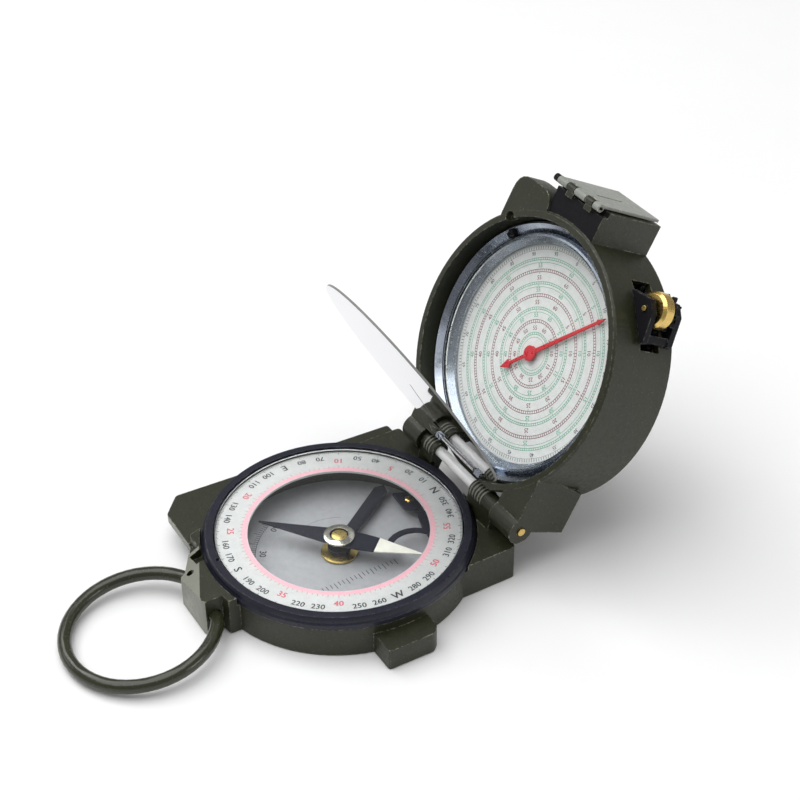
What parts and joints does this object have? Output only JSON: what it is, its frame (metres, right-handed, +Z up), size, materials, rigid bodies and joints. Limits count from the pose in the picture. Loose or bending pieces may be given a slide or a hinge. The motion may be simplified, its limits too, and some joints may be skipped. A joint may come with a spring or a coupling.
{
  "type": "geological pocket compass",
  "caption": "Olive folding pocket compass with turning bezel, needle over a deep dial, slotted mirror leaf, map-measurer dial in the lid and a thumb ring, shown open",
  "frame": {"origin": "centre of the base's flat underside, straight below the needle pivot", "axes": "+X along the lid hinge, +Y from the thumb ring to the hinge, +Z up out of the dial; the lid stands open 118 degrees and the mirror leaf leans over the dial"},
  "size_m": [0.066, 0.1423, 0.0744],
  "materials": {
    "olive": "olive-drab paint with a fine grain over die-cast metal",
    "olive_gloss": "glossy dark olive enamel on wire",
    "blueblack": "blue-black satin finish",
    "black": "blackened steel",
    "white": "white printed dial",
    "dial_grey": "pale grey printed floor dial",
    "brass": "turned brass",
    "steel": "polished steel",
    "nickel": "nickel plate",
    "bluesteel": "blue-grey polished steel",
    "mirror": "mirror-polished steel leaf",
    "glass": "clear crystal",
    "red": "red enamel",
    "grey": "worn grey-olive paint"
  },
  "bodies": {
    "base": {"base_case": "olive", "base_dial": "dial_grey", "pivot_boss": "brass", "pivot_post": "steel", "scale_ring": "white", "lock_bracket": "black", "lock_rivet": "brass", "hinge_rod": "steel", "hinge_pin_left": "brass", "hinge_pin_right": "brass"},
    "bezel": {"bezel_ring": "blueblack", "bezel_glass": "glass"},
    "needle": {"needle_blade": "black", "needle_hub": "nickel", "needle_jewel": "brass"},
    "clinometer": {"pendulum": "black"},
    "lifter": {"needle_lifter": "black"},
    "ring": {"thumb_ring": "olive_gloss"},
    "lid": {"lid_case": "olive", "lid_ring": "bluesteel", "ring_screw_1": "black", "ring_screw_2": "black", "ring_screw_3": "black", "lid_glass": "glass", "lid_dial": "white", "gear_plate": "brass", "wheel_fork": "black", "mirror_pin": "steel", "sight_pin": "black"},
    "mirror": {"mirror_leaf": "mirror"},
    "sight": {"front_sight": "grey"},
    "measurer_hand": {"hand": "red", "hand_gear": "brass"},
    "idler": {"idler_gear": "black"},
    "wheel": {"tracing_wheel": "brass", "wheel_pinion": "black"}
  },
  "joints": [
    {"name": "lid_hinge", "type": "hinge", "parent": "base", "child": "lid", "pos_m": [0, 0.0307, 0.0128], "axis": [1, 0, 0], "range_deg": [-24, 118.4]},
    {"name": "mirror_hinge", "type": "hinge", "parent": "lid", "child": "mirror", "pos_m": [0, 0.03115, 0.01699], "axis": [1, 0, 0], "range_deg": [-56.1, 12.8]},
    {"name": "sight_hinge", "type": "hinge", "parent": "lid", "child": "sight", "pos_m": [0, 0.06124, 0.07348], "axis": [1, 0, 0], "range_deg": [0, 90]},
    {"name": "ring_swing", "type": "hinge", "parent": "base", "child": "ring", "pos_m": [0, -0.0333, 0.0045], "axis": [-1, 0, 0], "range_deg": [-74, 55]},
    {"name": "bezel_turn", "type": "hinge", "parent": "base", "child": "bezel", "pos_m": [0, 0, 0.009], "axis": [0, 0, 1], "continuous": true},
    {"name": "needle_turn", "type": "hinge", "parent": "base", "child": "needle", "pos_m": [0, 0, 0.006], "axis": [0, 0, 1], "continuous": true},
    {"name": "clinometer_swing", "type": "hinge", "parent": "base", "child": "clinometer", "pos_m": [0, 0, 0.0037], "axis": [0, 0, 1], "continuous": true},
    {"name": "lifter_tilt", "type": "hinge", "parent": "base", "child": "lifter", "pos_m": [0, 0.0203, 0.0048], "axis": [-1, 0, 0], "range_deg": [0, 3.5]},
    {"name": "tracing_wheel_turn", "type": "hinge", "parent": "lid", "child": "wheel", "pos_m": [0.02383, 0.06453, 0.05686], "axis": [0, -0.8796, 0.4756], "continuous": true},
    {"name": "idler_turn", "type": "hinge", "parent": "lid", "child": "idler", "pos_m": [0.01192, 0.05736, 0.04696], "axis": [0, -0.8796, 0.4756], "continuous": true},
    {"name": "hand_turn", "type": "hinge", "parent": "lid", "child": "measurer_hand", "pos_m": [0, 0.05053, 0.03686], "axis": [0, -0.8796, 0.4756], "continuous": true}
  ],
  "couplings": [
    {"joint": "mirror_hinge", "follows": "lid_hinge", "ratio": -0.4738},
    {"joint": "idler_turn", "follows": "tracing_wheel_turn", "ratio": -0.25},
    {"joint": "hand_turn", "follows": "tracing_wheel_turn", "ratio": 0.0625}
  ]
}
